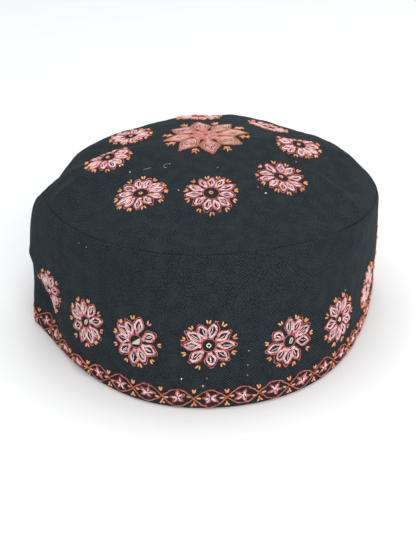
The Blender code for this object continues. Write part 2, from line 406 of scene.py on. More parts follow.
# The sizes of the patterns in cloth and thread. Yarns lie 0.3 mm apart and fibres are 0.02 mm thick,
# too fine to show here, so the grain of yarns is drawn about twice as coarse and that of fibres about
# ten times. The ribs are as wide as the photo shows them.
RIB_PITCH = 0.82 * MM
YARN_GRAIN = MM / 1.5
WEAR_PATCH = 55.56 * MM
FADE_PATCH = 5.882 * MM
LINT_SPACING = 2.381 * MM
FIBRE_GRAIN = 0.1923 * MM
# A wave texture of scale 1 repeats after a length of 2 pi / 20.
WAVE_LENGTH = 2 * np.pi / 20


def twill(name, rib_turn):
    """Cotton drill: a piece-dyed steep twill. Its slanted ribs are painted lighter on their tops and
    darker in their grooves, a painted highlight and painted shade, and paler faded patches lie over them.
    """
    material, tree, shader = new_material(name, 0.9, 0.03, "#96a8b3", 0.1)
    flat = add(tree, "ShaderNodeUVMap", uv_map="flat").outputs["UV"]
    turned = add(tree, "ShaderNodeMapping", {"Vector": flat}, in_Rotation=(0, 0, np.radians(rib_turn)))
    ribs = add(
        tree,
        "ShaderNodeTexWave",
        {"Vector": turned.outputs["Vector"]},
        in_Scale=WAVE_LENGTH / RIB_PITCH,
        in_Distortion=0.6,
        in_Detail=1.0,
        in_Detail_Scale=0.35,
    )
    patterns = (
        add(tree, "ShaderNodeTexNoise", {"Vector": flat}, in_Scale=1 / size, in_Detail=detail)
        for size, detail in ((YARN_GRAIN, 3.0), (WEAR_PATCH, 2.0), (FADE_PATCH, 4.0))
    )
    yarns, wear, fade = (pattern.outputs["Fac"] for pattern in patterns)
    lint = add(tree, "ShaderNodeTexVoronoi", {"Vector": flat}, in_Scale=1 / LINT_SPACING)
    ends = {"in_From_Min": 0.38, "in_From_Max": 0.62, "in_To_Min": 0.0, "in_To_Max": 0.65}
    flattened = add(tree, "ShaderNodeMapRange", {"Value": wear}, **ends).outputs["Result"]
    pressed = add(tree, "ShaderNodeMix", {"Factor": flattened, 2: ribs.outputs["Fac"]}, in_3=0.5)
    links = {0: yarns, 2: pressed.outputs[0]}
    height = add(tree, "ShaderNodeMath", links, operation="MULTIPLY_ADD", in_1=2.4).outputs[0]
    # The colour follows the rib height: painted shade darkens the grooves and a painted highlight lightens
    # the rib tops. A random mottle of yarns lies over the cloth's own dark colour.
    rib_shade_and_mottle = add(tree, "ShaderNodeMapRange", {"Value": height}, in_From_Min=1.1, in_From_Max=2.3)
    dyed = add(tree, "ShaderNodeValToRGB", {"Fac": rib_shade_and_mottle.outputs["Result"]})
    dyed.color_ramp.elements[0].color = linear("#040507")
    dyed.color_ramp.elements[1].color = linear("#2e373c")
    colour = dyed.outputs["Color"]
    worn_tops = (fade, 0.40, 0.70, 0.32, "#323b40")
    specks_of_lint = (lint.outputs["Distance"], 0.10, 0.04, 0.30, "#535f66")
    for source, low, high, most, paler in (worn_tops, specks_of_lint):
        ends = {"in_From_Min": low, "in_From_Max": high, "in_To_Min": 0.0, "in_To_Max": most}
        share = add(tree, "ShaderNodeMapRange", {"Value": source}, **ends)
        links = {"Factor": share.outputs["Result"], 6: colour}
        colour = add(tree, "ShaderNodeMix", links, data_type="RGBA", in_7=linear(paler)).outputs[2]
    bump = add(tree, "ShaderNodeBump", {"Height": height}, in_Strength=0.8, in_Distance=0.00012)
    tree.links.new(colour, shader.inputs["Base Color"])
    tree.links.new(bump.outputs["Normal"], shader.inputs["Normal"])
    return material


def thread(name, dark, light):
    """Stranded cotton: mercerised and softly shiny. Its tint changes a little from stitch to stitch."""
    material, tree, shader = new_material(name, 0.55, 0.30, light, specular=0.4)
    tint = add(tree, "ShaderNodeAttribute", attribute_name="tint").outputs["Fac"]
    place = add(tree, "ShaderNodeTexCoord").outputs["Object"]
    fibre = add(tree, "ShaderNodeTexNoise", {"Vector": place}, in_Scale=1 / FIBRE_GRAIN, in_Detail=2.0)
    links = {0: fibre.outputs["Fac"], 2: tint}
    amount = add(tree, "ShaderNodeMath", links, operation="MULTIPLY_ADD", in_1=0.35)
    ends = {"in_6": linear(dark), "in_7": linear(light)}
    colour = add(tree, "ShaderNodeMix", {"Factor": amount.outputs[0]}, data_type="RGBA", **ends)
    links = {"Height": fibre.outputs["Fac"]}
    bump = add(tree, "ShaderNodeBump", links, in_Strength=0.5, in_Distance=0.00008)
    tree.links.new(colour.outputs[2], shader.inputs["Base Color"])
    tree.links.new(bump.outputs["Normal"], shader.inputs["Normal"])
    return material


BAND_TWILL = twill("band_cotton_twill", -54)
CROWN_TWILL = twill("crown_cotton_twill", -48)
THREAD_COLOURS = {
    "rust": ("#8b4034", "#c26a58"),
    "pink": ("#bf727c", "#f2cad2"),
    "salmon": ("#985850", "#c48f89"),
    "rose": ("#a8646a", "#d9a6aa"),
    "cream": ("#d6c3a2", "#f6ebd6"),
    "orange": ("#c57243", "#ecaa78"),
    "straw": ("#cfa472", "#eccb98"),
    "white": ("#cfcfd4", "#f4f4f6"),
    "black": ("#07080a", "#15181c"),
}
THREADS = {name: thread(name + "_cotton_thread", *ends) for name, ends in THREAD_COLOURS.items()}
# Loose cotton fibre, shed by other cloth and matted: it lies pale and grey on the dark twill.
THREADS["lint"] = thread("grey_cotton_lint", "#8a8f92", "#b9bbba")

# The cloth as meshes.

STEPS_ROUND = 600
INSIDE_ROWS = 14
SEAM_GAP = 0.0003
# The crown's cloth is this much wider laid flat than its dome is seen from above.
CROWN_SPREAD = 1.03
CLOTH_ANGLES = np.linspace(-180, 180, STEPS_ROUND, endpoint=False)


def new_object(name, mesh):
    piece = bpy.data.objects.new(name, mesh)
    bpy.context.collection.objects.link(piece)
    return piece


def rows_from_seam(length, first=0.00035, growth=1.16, widest=0.0013):
    """Distances from the seam: rows lie close together in its groove and wider away from it."""
    distances, step = [0.0], first
    while distances[-1] + step < length:
        distances.append(distances[-1] + step)
        step = min(step * growth, widest)
    return np.array(distances)


def ringed(name, rings, flats, poles=()):
    """Joins rings of points by faces, with the flat pattern in metres as their UV."""
    count = len(CLOTH_ANGLES)
    points = np.concatenate([*rings, *[np.array([pole]) for pole in poles]])
    faces, uvs = [], []
    pairs = [(k, k + 1) for k in range(len(rings) - 1)]
    if not len(poles):
        pairs.append((len(rings) - 1, 0))
    for lower, upper in pairs:
        for i in range(count):
            j = (i + 1) % count
            faces.append((lower * count + i, lower * count + j, upper * count + j, upper * count + i))
            corners = ((lower, i), (lower, i + 1), (upper, i + 1), (upper, i))
            uvs.extend(flats[ring][step] for ring, step in corners)
    for pole, (ring, top) in enumerate(zip(poles, (0, len(rings) - 1))):
        for i in range(count):
            j = (i + 1) % count
            faces.append((len(rings) * count + pole, top * count + i, top * count + j))
            uvs.extend((np.zeros(2), flats[top][i], flats[top][i + 1]))
    mesh = bpy.data.meshes.new(name)
    mesh.from_pydata(points.tolist(), [], faces)
    layer = mesh.uv_layers.new(name="flat")
    layer.data.foreach_set("uv", np.array(uvs, dtype=np.float32).ravel())
    shape = bmesh.new()
    shape.from_mesh(mesh)
    bmesh.ops.recalc_face_normals(shape, faces=shape.faces)
    shape.to_mesh(mesh)
    shape.free()
    mesh.shade_smooth()
    return new_object(name, mesh)


def make_band_cloth():
    """The band: outer face, groove at the seam, plain inside, turned-up hem and its rounded fold."""
    lift = seam_height(CLOTH_ANGLES)
    front = int(np.argmin(np.abs(CLOTH_ANGLES)))
    rings, flats = [], []

    def ring(points, across):
        rings.append(points)
        arcs = arc_length(np.concatenate([points, points[:1]]))
        flats.append(np.stack([arcs - arcs[front], np.full_like(arcs, across)], axis=1))

    foot = HEM_ROUNDING / SEAM_HEIGHT
    distances = rows_from_seam(SEAM_HEIGHT * (1 - foot))
    heights = np.append(1 - distances / SEAM_HEIGHT, foot)[::-1]
    for height in heights:
        ring(band_face(CLOTH_ANGLES, height)[0], height * SEAM_HEIGHT)
    seam_normal = joint_normal(CLOTH_ANGLES)
    top = wall_point(CLOTH_ANGLES, 1.0)
    ring(top - (SEAM_DEPTH + WALL) * seam_normal, SEAM_HEIGHT + WALL)

    def inside(height, depth, across):
        ring(wall_point(CLOTH_ANGLES, height) - depth * wall_normal(CLOTH_ANGLES, height), across)

    hem = HEM_HEIGHT / SEAM_HEIGHT
    for height in np.linspace(0.95, hem + 0.03, INSIDE_ROWS):
        inside(height, WALL, height * SEAM_HEIGHT)
    for height, depth in ((hem, WALL), (hem - 0.012, HEM_WALL), (hem / 2, HEM_WALL)):
        inside(height, depth, height * SEAM_HEIGHT)
    level = wall_normal(CLOTH_ANGLES, foot)
    level[:, 2] = 0
    level = unit(level)
    outer = wall_point(CLOTH_ANGLES, foot)
    for bend in np.radians((180, 150, 120, 90, 60, 30)):
        points = outer - HEM_WALL / 2 * (1 - np.cos(bend)) * level
        points[:, 2] = HEM_ROUNDING * (1 - np.sin(bend)) * lift / SEAM_HEIGHT
        ring(points, -HEM_WALL * bend / np.pi)
    piece = ringed("band_cloth", rings, flats)
    piece.data.materials.append(BAND_TWILL)
    return piece


def make_crown_cloth():
    """The crown: outer face, groove at the seam, the allowance turned down, and the plain inside."""
    rings, flats = [], []
    edge = wall_point(CLOTH_ANGLES, 1.0) + SHIFT
    x, y = edge[:, 0] - SEAM_SHIFT, edge[:, 1]

    def ring(points, reach):
        rings.append(points)
        laid = np.stack([x * reach, y * reach], axis=1) * CROWN_SPREAD
        flats.append(np.concatenate([laid, laid[:1]]))

    rows = 1 - rows_from_seam(SEAM.left * 0.985, widest=0.0016) / SEAM.left
    for reach in rows[::-1]:
        ring(crown_face(x * reach, y * reach)[0], reach)
    below = WALL + SEAM_GAP
    top = wall_point(CLOTH_ANGLES, 1.0) - (SEAM_DEPTH + below) * joint_normal(CLOTH_ANGLES)
    ring(top, 1.02)
    allowance = ((0.95, below), (0.91, below), (0.91, below + MM), (0.95, below + MM))
    for height, depth in allowance:
        points = wall_point(CLOTH_ANGLES, height) - depth * wall_normal(CLOTH_ANGLES, height)
        ring(points, 1 + (1 - height))
    for reach in np.linspace(0.94, 0.04, INSIDE_ROWS):
        points = crown_point(x * reach, y * reach) - WALL * crown_normal(x * reach, y * reach)
        ring(points, reach)
    middle = np.zeros(1)
    top, top_normal = crown_face(middle, middle)
    poles = (top[0], top[0] - WALL * top_normal[0])
    piece = ringed("crown_cloth", rings, flats, poles)
    piece.data.materials.append(CROWN_TWILL)
    return piece


band_cloth = make_band_cloth()
crown_cloth = make_crown_cloth()

# Laying a flat drawing on the cloth.


def on_band(arc, height, tilt=0.0):
    """Places a drawing on the band: arc is along the rim from the front, and height is above it."""
    angle = float(rim_angle(arc))
    part = height / float(seam_height(angle))
    lengths = arc_length(wall_point(TABLE_ANGLES, part))
    middle = np.interp(angle, TABLE_ANGLES, lengths)
    step = 0.02
    column = wall_point(angle, np.array([part - step, part + step]))
    per_part = np.linalg.norm(column[1] - column[0]) / (2 * step)
    s, c = sin_cos(tilt)

    def lay(x, y):
        x, y = (c * x - s * y) * MM, (s * x + c * y) * MM
        angles = np.interp((middle + x) % lengths[-1], lengths, TABLE_ANGLES)
        return band_face(angles, np.clip(part + y / per_part, 0, 1))

    return lay


def on_crown(x0, y0, wide=1.0, long=1.0):
    """Places a drawing on the crown, with its X to the right and its Y to the back.

    Seen from above it is made shorter down the slope, so that it keeps its size on the cloth.
    """
    normal = crown_normal(np.array([x0]), np.array([y0]))[0]
    downhill = normal[:2] / max(np.hypot(*normal[:2]), 1e-9)
    shorter = 1 - normal[2]

    def lay(x, y):
        x, y = wide * x * MM, long * y * MM
        along = (x * downhill[0] + y * downhill[1]) * shorter
        return crown_face(x0 + x - along * downhill[0], y0 + y - along * downhill[1])

    return lay


def border_lay(arc, height):
    """Places points given in metres along the rim and above it."""
    angle = rim_angle(arc)
    return band_face(angle, np.clip(height / seam_height(angle), 0, 1))


# Guide lines and stitches.


class Lines:
    """Guide lines of one thread: points on the cloth, their normals and widths, and the edges between."""

    def __init__(self):
        self.points, self.ups, self.widths, self.edges = [], [], [], []
        self.count = 0

    def add(self, points, ups, width, closed):
        n = len(points)
        self.points.append(points)
        self.ups.append(ups)
        self.widths.append(np.full(n, width))
        self.edges.extend((self.count + i, self.count + i + 1) for i in range(n - 1))
        if closed:
            self.edges.append((self.count + n - 1, self.count))
        self.count += n


WORK = {}


def work(piece):
    """The guide lines of a piece."""
    return WORK.setdefault(piece, Lines())


def draw(piece, lay, x, y, width=0.5, closed=False, raised=0.0):
    """Adds a line of a flat drawing, in millimetres, to the guide lines of a piece."""
    points, normals = lay(np.asarray(x, float), np.asarray(y, float))
    work(piece).add(points + raised * MM * normals, normals, width * MM, closed)


def guide_mesh(name, lines):
    mesh = bpy.data.meshes.new(name)
    mesh.from_pydata(np.concatenate(lines.points).tolist(), lines.edges, [])
    up = mesh.attributes.new("up", "FLOAT_VECTOR", "POINT")
    up.data.foreach_set("vector", np.concatenate(lines.ups).astype(np.float32).ravel())
    width = mesh.attributes.new("width", "FLOAT", "POINT")
    width.data.foreach_set("value", np.concatenate(lines.widths).astype(np.float32))
    return mesh


def strand_mesh(name, path, radius, sides=5, plies=2, twist=1.0):
    """A twisted strand along a short path in the XY plane, thinner at its two ends."""
    rings = len(path)
    path = np.asarray(path, float)
    ahead = unit(np.gradient(path, axis=0))
    shape = bmesh.new()
    loops = []
    for k, (centre, forward) in enumerate(zip(path, ahead)):
        t = k / (rings - 1)
        thick = radius * (0.35 + 0.65 * np.sqrt(max(0.0, 1 - (2 * t - 1) ** 4)))
        side = np.array([-forward[1], forward[0], 0])
        loop = []
        for i in range(sides):
            a = 2 * np.pi * i / sides
            lobe = 1 + 0.16 * np.cos(plies * a + 2 * np.pi * twist * t)
            offset = thick * lobe * (np.cos(a) * side + np.sin(a) * np.array([0, 0, 1]))
            loop.append(shape.verts.new(centre + offset))
        loops.append(loop)
    for lower, upper in zip(loops, loops[1:]):
        for i in range(sides):
            j = (i + 1) % sides
            shape.faces.new((lower[i], lower[j], upper[j], upper[i]))
    shape.faces.new(loops[0][::-1])
    shape.faces.new(loops[-1])
    bmesh.ops.recalc_face_normals(shape, faces=shape.faces)
    mesh = bpy.data.meshes.new(name)
    shape.to_mesh(mesh)
    shape.free()
    mesh.shade_smooth()
    return mesh


def stem_stitch(length, radius):
    """One stitch of a stem-stitched line. It lies a little aslant and overlaps its neighbours."""
    t = np.linspace(-1, 1, 5)
    path = np.stack([t * length / 2, np.zeros(5), radius * 0.45 * (1 - t**2)], axis=1)
    return strand_mesh("stem_stitch", path, radius)


def chain_stitch(length, half_width, radius):
    """One link of a chain-stitched line: a loop pointed where the next link holds it down."""
    t = np.linspace(0, 2 * np.pi, 9)
    along = -np.cos(t) * length / 2
    across = np.sin(t) * half_width * (1 - 0.35 * np.cos(t + np.pi))
    path = np.stack([along, across, radius * 0.4 * (1 - np.cos(t)) / 2], axis=1)
    return strand_mesh("chain_stitch", path, radius, twist=2.0)


def new_tree(name, **kinds):
    """A tree with named inputs, its inputs' identifiers and values, and the guide lines and their up."""
    tree = bpy.data.node_groups.new(name, "GeometryNodeTree")
    for way in ("INPUT", "OUTPUT"):
        tree.interface.new_socket("Geometry", in_out=way, socket_type="NodeSocketGeometry")
    keys = {}
    for label, kind in kinds.items():
        item = tree.interface.new_socket(label, in_out="INPUT", socket_type="NodeSocket" + kind)
        keys[label] = item.identifier
    given = add(tree, "NodeGroupInput").outputs
    lines = add(tree, "GeometryNodeMeshToCurve", {"Mesh": given["Geometry"]})
    up = add(tree, "GeometryNodeInputNamedAttribute", data_type="FLOAT_VECTOR", in_Name="up")
    return tree, keys, given, lines.outputs["Curve"], up.outputs["Attribute"]


def tinted(tree, given, geometry, domain):
    """Gives each stitch a tint of its own."""
    tint = add(tree, "FunctionNodeRandomValue", {"Seed": given["Seed"]}, data_type="FLOAT")
    links = {"Geometry": geometry, "Value": tint.outputs[1]}
    stored = add(tree, "GeometryNodeStoreNamedAttribute", links, domain=domain, in_Name="tint")
    return stored.outputs["Geometry"]


def finish_tree(tree, given, geometry):
    """Makes the stitches real and gives them the thread's material."""
    real = add(tree, "GeometryNodeRealizeInstances", {"Geometry": geometry})
    links = {"Geometry": real.outputs["Geometry"], "Material": given["Thread"]}
    dyed = add(tree, "GeometryNodeSetMaterial", links)
    add(tree, "NodeGroupOutput", {"Geometry": dyed.outputs["Geometry"]})


def line_stitch_tree():
    """Repeats one stitch along each guide line, turned to the line and to the cloth."""
    tree, keys, given, lines, up = new_tree(
        "line_stitches",
        Stitch="Object",
        Pitch="Float",
        Lean="Float",
        Unevenness="Float",
        Seed="Int",
        Thread="Material",
    )
    links = {"Curve": lines, "Length": given["Pitch"]}
    spaced = add(tree, "GeometryNodeResampleCurve", links, mode="LENGTH")
    tangent = add(tree, "GeometryNodeInputTangent").outputs["Tangent"]
    forward = add(tree, "FunctionNodeAlignRotationToVector", {"Vector": tangent}, axis="X")
    links = {"Rotation": forward.outputs["Rotation"], "Vector": up}
    flat = add(tree, "FunctionNodeAlignRotationToVector", links, axis="Z", pivot_axis="X")
    least = add(tree, "ShaderNodeMath", {1: given["Unevenness"]}, operation="SUBTRACT", in_0=1.0)
    most = add(tree, "ShaderNodeMath", {1: given["Unevenness"]}, operation="ADD", in_0=1.0)
    links = {2: least.outputs[0], 3: most.outputs[0], "Seed": given["Seed"]}
    size = add(tree, "FunctionNodeRandomValue", links, data_type="FLOAT")
    shape = add(tree, "GeometryNodeObjectInfo", {"Object": given["Stitch"]})
    links = {
        "Points": spaced.outputs["Curve"],
        "Instance": shape.outputs["Geometry"],
        "Rotation": flat.outputs["Rotation"],
        "Scale": size.outputs[1],
    }
    laid = add(tree, "GeometryNodeInstanceOnPoints", links)
    sway = add(
        tree,
        "FunctionNodeRandomValue",
        {"Seed": given["Seed"]},
        data_type="FLOAT_VECTOR",
        in_0=(-0.05, -0.03, -0.09),
        in_1=(0.05, 0.03, 0.09),
    )
    lean = add(tree, "ShaderNodeCombineXYZ", {"Z": given["Lean"]})
    links = {0: sway.outputs[0], 1: lean.outputs["Vector"]}
    turned = add(tree, "ShaderNodeVectorMath", links, operation="ADD")
    links = {"Instances": laid.outputs["Instances"], "Rotation": turned.outputs["Vector"]}
    slanted = add(tree, "GeometryNodeRotateInstances", links)
    finish_tree(tree, given, tinted(tree, given, slanted.outputs["Instances"], "INSTANCE"))
    return tree, keys


def straight_stitch_tree():
    """Makes each guide line one plump stitch: narrow where it enters the cloth, arched between."""
    tree, keys, given, lines, up = new_tree(
        "straight_stitches", Arch="Float", Twist="Float", Seed="Int", Thread="Material"
    )
    cut = add(tree, "GeometryNodeResampleCurve", {"Curve": lines}, in_Count=6)
    along = add(tree, "GeometryNodeSplineParameter").outputs
    links = {0: along["Factor"]}
    centred = add(tree, "ShaderNodeMath", links, operation="MULTIPLY_ADD", in_1=2.0, in_2=-1.0).outputs[0]
    fourth = add(tree, "ShaderNodeMath", {0: centred}, operation="POWER", in_1=4.0)
    square = add(tree, "ShaderNodeMath", {0: centred}, operation="POWER", in_1=2.0)
    left = add(tree, "ShaderNodeMath", {1: fourth.outputs[0]}, operation="SUBTRACT", in_0=1.04)
    swell = add(tree, "ShaderNodeMath", {0: left.outputs[0]}, operation="SQRT")
    width = add(tree, "GeometryNodeInputNamedAttribute", data_type="FLOAT", in_Name="width")
    half = add(tree, "ShaderNodeMath", {0: width.outputs[0]}, operation="MULTIPLY", in_1=0.5)
    links = {0: half.outputs[0], 1: swell.outputs[0]}
    radius = add(tree, "ShaderNodeMath", links, operation="MULTIPLY")
    rise = add(tree, "ShaderNodeMath", {1: square.outputs[0]}, operation="SUBTRACT", in_0=1.0)
    links = {0: rise.outputs[0], 1: given["Arch"]}
    lift = add(tree, "ShaderNodeMath", links, operation="MULTIPLY")
    links = {0: up, "Scale": lift.outputs[0]}
    offset = add(tree, "ShaderNodeVectorMath", links, operation="SCALE")
    links = {"Geometry": cut.outputs["Curve"], "Offset": offset.outputs["Vector"]}
    arched = add(tree, "GeometryNodeSetPosition", links)
    links = {0: along["Length"], 1: given["Twist"]}
    wound = add(tree, "ShaderNodeMath", links, operation="MULTIPLY")
    links = {"Curve": arched.outputs["Geometry"], "Tilt": wound.outputs[0]}
    twisted = add(tree, "GeometryNodeSetCurveTilt", links)
    ends = {"in_Inner_Radius": 0.82, "in_Outer_Radius": 1.05}
    section = add(tree, "GeometryNodeCurveStar", in_Points=4, **ends)
    links = {
        "Curve": tinted(tree, given, twisted.outputs["Curve"], "CURVE"),
        "Profile Curve": section.outputs["Curve"],
        "Scale": radius.outputs[0],
    }
    swept = add(tree, "GeometryNodeCurveToMesh", links, in_Fill_Caps=True)
    smooth = add(tree, "GeometryNodeSetShadeSmooth", {"Geometry": swept.outputs["Mesh"]})
    finish_tree(tree, given, smooth.outputs["Geometry"])
    return tree, keys


def stitched(name, tree, keys, **settings):
    """Runs a stitch tree on a piece's guide lines and keeps the result as a plain mesh."""
    piece = new_object(name, guide_mesh(name + "_guide", WORK[name]))
    modifier = piece.modifiers.new("stitches", "NODES")
    modifier.node_group = tree
    for key, value in settings.items():
        modifier[keys[key]] = value
    graph = bpy.context.evaluated_depsgraph_get()
    mesh = bpy.data.meshes.new_from_object(piece.evaluated_get(graph), depsgraph=graph)
    piece.modifiers.remove(modifier)
    guide = piece.data
    mesh.name = name
    piece.data = mesh
    bpy.data.meshes.remove(guide)
    return piece


# The motifs, drawn flat in millimetres.


def leaf(direction, base, tip, half_width, steps=8, point=1.7, fat=1.1):
    """Closed outline of a pointed petal along a direction, from its base out and back."""
    t = np.linspace(0, 1, steps + 1)
    side = half_width * (1 - np.abs(2 * t**fat - 1) ** point)
    out = base + (tip - base) * t
    out = np.concatenate([out, out[-2:0:-1]])
    side = np.concatenate([side, -side[-2:0:-1]])
    s, c = sin_cos(direction)
    return np.stack([out * c - side * s, out * s + side * c])


def by_hand(line, rng, error=0.1):
    """A drawn line with the small errors of the hand that follows it."""
    return line + rng.normal(0, error, line.shape)


def spoke(direction, start, end, aside=0.0):
    """A straight line along a direction, from one distance to another."""
    s, c = sin_cos(direction)
    out = np.array([start, end])
    return out * c - aside * s, out * s + aside * c


def circle(radius, steps=20):
    a = np.linspace(0, 2 * np.pi, steps, endpoint=False)
    return radius * np.cos(a), radius * np.sin(a)


def sprig(place, lay, direction, reach, size, rng):
    """Two short plump satin stitches that open outwards from one point."""
    s, c = sin_cos(direction)
    for side in (-1, 1):
        a = np.radians(direction + side * rng.uniform(12, 26))
        length = size * rng.uniform(0.85, 1.2)
        x0, y0 = reach * c - side * 0.26 * s, reach * s + side * 0.26 * c
        x, y = [x0, x0 + length * np.cos(a)], [y0, y0 + length * np.sin(a)]
        draw(place + "_sprigs", lay, x, y, width=0.84, raised=0.16)


Cut = namedtuple("Cut", "ring tip outline petal")
BAND_CUT = Cut(3.1, 11.6, 2.65, 1.78)
CROWN_CUT = Cut(3.7, 11.6, 2.2, 1.42)


def rosette(place, lay, directions, cut, seed):
    """A flower of pointed petals round a ring: rust outline, pink chain, cream vein and orange sprigs."""
    rng = np.random.default_rng(seed)
    directions = np.asarray(directions, float)
    for direction in directions:
        reach = cut.tip * rng.uniform(0.94, 1.06)
        wide = rng.uniform(0.9, 1.1)
        line = leaf(direction, cut.ring, reach, cut.outline * wide, steps=9, point=1.55)
        draw(place + "_outlines", lay, *by_hand(line, rng, 0.12), closed=True, raised=0.10)
        aslant = direction + rng.uniform(-3, 3)
        base, tip = cut.ring + 0.75, reach - rng.uniform(1.2, 1.8)
        line = leaf(aslant, base, tip, cut.petal * wide, point=1.5)
        draw(place + "_petals", lay, *by_hand(line, rng, 0.05), closed=True, raised=0.16)
        middle, long = (base + tip) / 2 + rng.uniform(-0.4, 0.4), 0.27 * (tip - base)
        for aside in ((0.0,), (0.0,), (-0.3, 0.3))[rng.integers(3)]:
            x, y = spoke(aslant + rng.uniform(-3, 3), middle - long, middle + long, aside)
            draw(place + "_veins", lay, x, y, width=0.36, raised=0.18)
    draw(place + "_outlines", lay, *circle(cut.ring - 0.1), closed=True, raised=0.12)
    following = np.append(directions[1:], directions[0] + 360)
    for direction in (directions + following) / 2:
        sprig(place, lay, direction + rng.uniform(-4, 4), cut.tip * 0.89, 1.9, rng)


def diamond_heart(piece, lay, half, width):
    """Four stitches round a small diamond."""
    corners = [(half, 0), (0, half), (-half, 0), (0, -half), (half, 0)]
    for (x0, y0), (x1, y1) in zip(corners, corners[1:]):
        draw(piece, lay, [x0, x1], [y0, y1], width=width, raised=0.2)


def oval_heart(piece, lay):
    """Two bowed stitches round a slanted oval, beside the middle."""
    t = np.linspace(0, np.pi, 7)
    for side in (-1, 1):
        out, across = 1.45 * np.cos(t), side * 0.62 * np.sin(t)
        x, y = 0.7 + 0.35 * out - 0.94 * across, 0.1 + 0.94 * out + 0.35 * across
        draw(piece, lay, x, y, width=0.55, raised=0.2)


def patch_heart(piece, lay):
    """A lopsided patch of satin stitches that covers half of the ring."""
    ends = ((-2.0, 2.3), (-1.8, 2.4), (-1.2, 2.5), (-0.2, 2.4), (0.6, 2.2))
    for above, (start, end) in zip((-0.6, 0.0, 0.6, 1.2, 1.8), ends):
        draw(piece, lay, [start, end], [above - 0.9, above - 0.1], width=0.46, raised=0.2)


# Each stitch of a branched sprig: where it starts, how far it turns aside and its length.
MEDALLION_BRANCH = (
    (17.0, 0, 4.2),
    (18.2, 48, 2.6),
    (18.2, -48, 2.6),
    (20.6, 35, 2.2),
    (20.6, -35, 2.2),
)


def medallion(place, lay, first, seed):
    """Eight broad lozenges round a small eight-petalled flower, with branched sprigs between them."""
    rng = np.random.default_rng(seed)
    for k in range(8):
        direction = first + 45 * k + rng.uniform(-2, 2)
        for piece, base, tip, wide in (("_outlines", 5.0, 21.8, 5.2), ("_bands", 6.3, 20.5, 4.4)):
            line = leaf(direction, base, tip, wide, steps=10, point=1.3, fat=1.0)
            draw(place + piece, lay, *by_hand(line, rng, 0.08), closed=True, raised=0.14)
        line = leaf(direction, 8.0, 18.8, 3.2, steps=8, point=1.3, fat=1.0)
        draw(place + "_veins", lay, *by_hand(line, rng, 0.06), closed=True, raised=0.14)
        line = leaf(direction, 9.6, 17.0, 1.75, steps=6, point=1.7, fat=1.1)
        draw(place + "_petals", lay, *by_hand(line, rng, 0.05), closed=True, raised=0.16)
        for aside, start, end in ((0.0, 10.4, 15.8), (-0.7, 11.4, 14.6), (0.7, 11.4, 14.6)):
            x, y = spoke(direction, start, end, aside)
            draw(place + "_hearts", lay, x, y, width=0.8, raised=0.2)
        line = leaf(direction, 0.9, 8.4, 2.2, steps=6)
        draw(place + "_outlines", lay, *line, closed=True, raised=0.12)
        line = leaf(direction, 1.8, 7.4, 1.25, steps=6)
        draw(place + "_petals", lay, *line, closed=True, raised=0.16)
        x, y = spoke(direction, 2.6, 6.4)
        draw(place + "_hearts", lay, x, y, width=0.8, raised=0.2)
        between = direction + 22.5
        s, c = sin_cos(between)
        for reach, opening, length in MEDALLION_BRANCH:
            a = np.radians(between + opening + rng.uniform(-5, 5))
            x = np.array([reach * c, reach * c + length * np.cos(a)])
            y = np.array([reach * s, reach * s + length * np.sin(a)])
            draw(place + "_sprigs", lay, x, y, width=0.72, raised=0.18)
    draw(place + "_outlines", lay, *circle(1.3, 8), closed=True, raised=0.14)


# The embroidery on the cap.

# Where the photo shows a rosette's petals, their directions are charted; the others are even.
BandSpot = namedtuple("BandSpot", "arc height petals")
BAND_SPOTS = (
    BandSpot(-112.4, 29.0, 9),
    BandSpot(-77.0, 27.7, (20, 62, 105, 140, 172, 215, 262, 300, 335)),
    BandSpot(-43.7, 28.6, (27, 82, 120, 150, 180, 223, 266, 299, 336)),
    BandSpot(-10.1, 30.5, (33, 75, 115, 148, 180, 226, 278, 319, 357)),
    BandSpot(26.6, 26.0, (27, 60, 94, 146, 191, 230, 260, 297, 349)),
    BandSpot(59.1, 24.1, (15, 55, 95, 130, 178, 222, 262, 300, 338)),
    BandSpot(99.4, 22.5, 9),
    BandSpot(135.1, 25.5, 9),
    BandSpot(170.8, 27.0, 9),
    BandSpot(206.4, 25.0, 9),
    BandSpot(242.1, 27.5, 9),
    BandSpot(277.8, 26.0, 9),
    BandSpot(313.5, 25.0, 9),
    BandSpot(349.2, 28.0, 9),
    BandSpot(384.8, 26.5, 9),
    BandSpot(420.5, 27.5, 9),
)

# The hearts that the photo shows to be worked otherwise than as a small diamond, by their spots.
PATCH_HEARTS = (2,)
OVAL_HEARTS = (1, 4)


def even(petals, seed):
    """Directions of petals spaced as evenly as a hand spaces them."""
    rng = np.random.default_rng(seed)
    return rng.uniform(0, 360) + 360 / petals * np.arange(petals) + rng.uniform(-4, 4, petals)


for number, spot in enumerate(BAND_SPOTS):
    petals = even(spot.petals, 40 + number) if isinstance(spot.petals, int) else spot.petals
    lay = on_band(spot.arc * MM, spot.height * MM)
    rosette("band_rosette", lay, petals, BAND_CUT, 100 + number)
    if number in PATCH_HEARTS:
        patch_heart("band_rosette_hearts", lay)
    elif number in OVAL_HEARTS:
        oval_heart("band_rosette_hearts", lay)
    else:
        diamond_heart("band_rosette_hearts", lay, 1.05, 0.5)

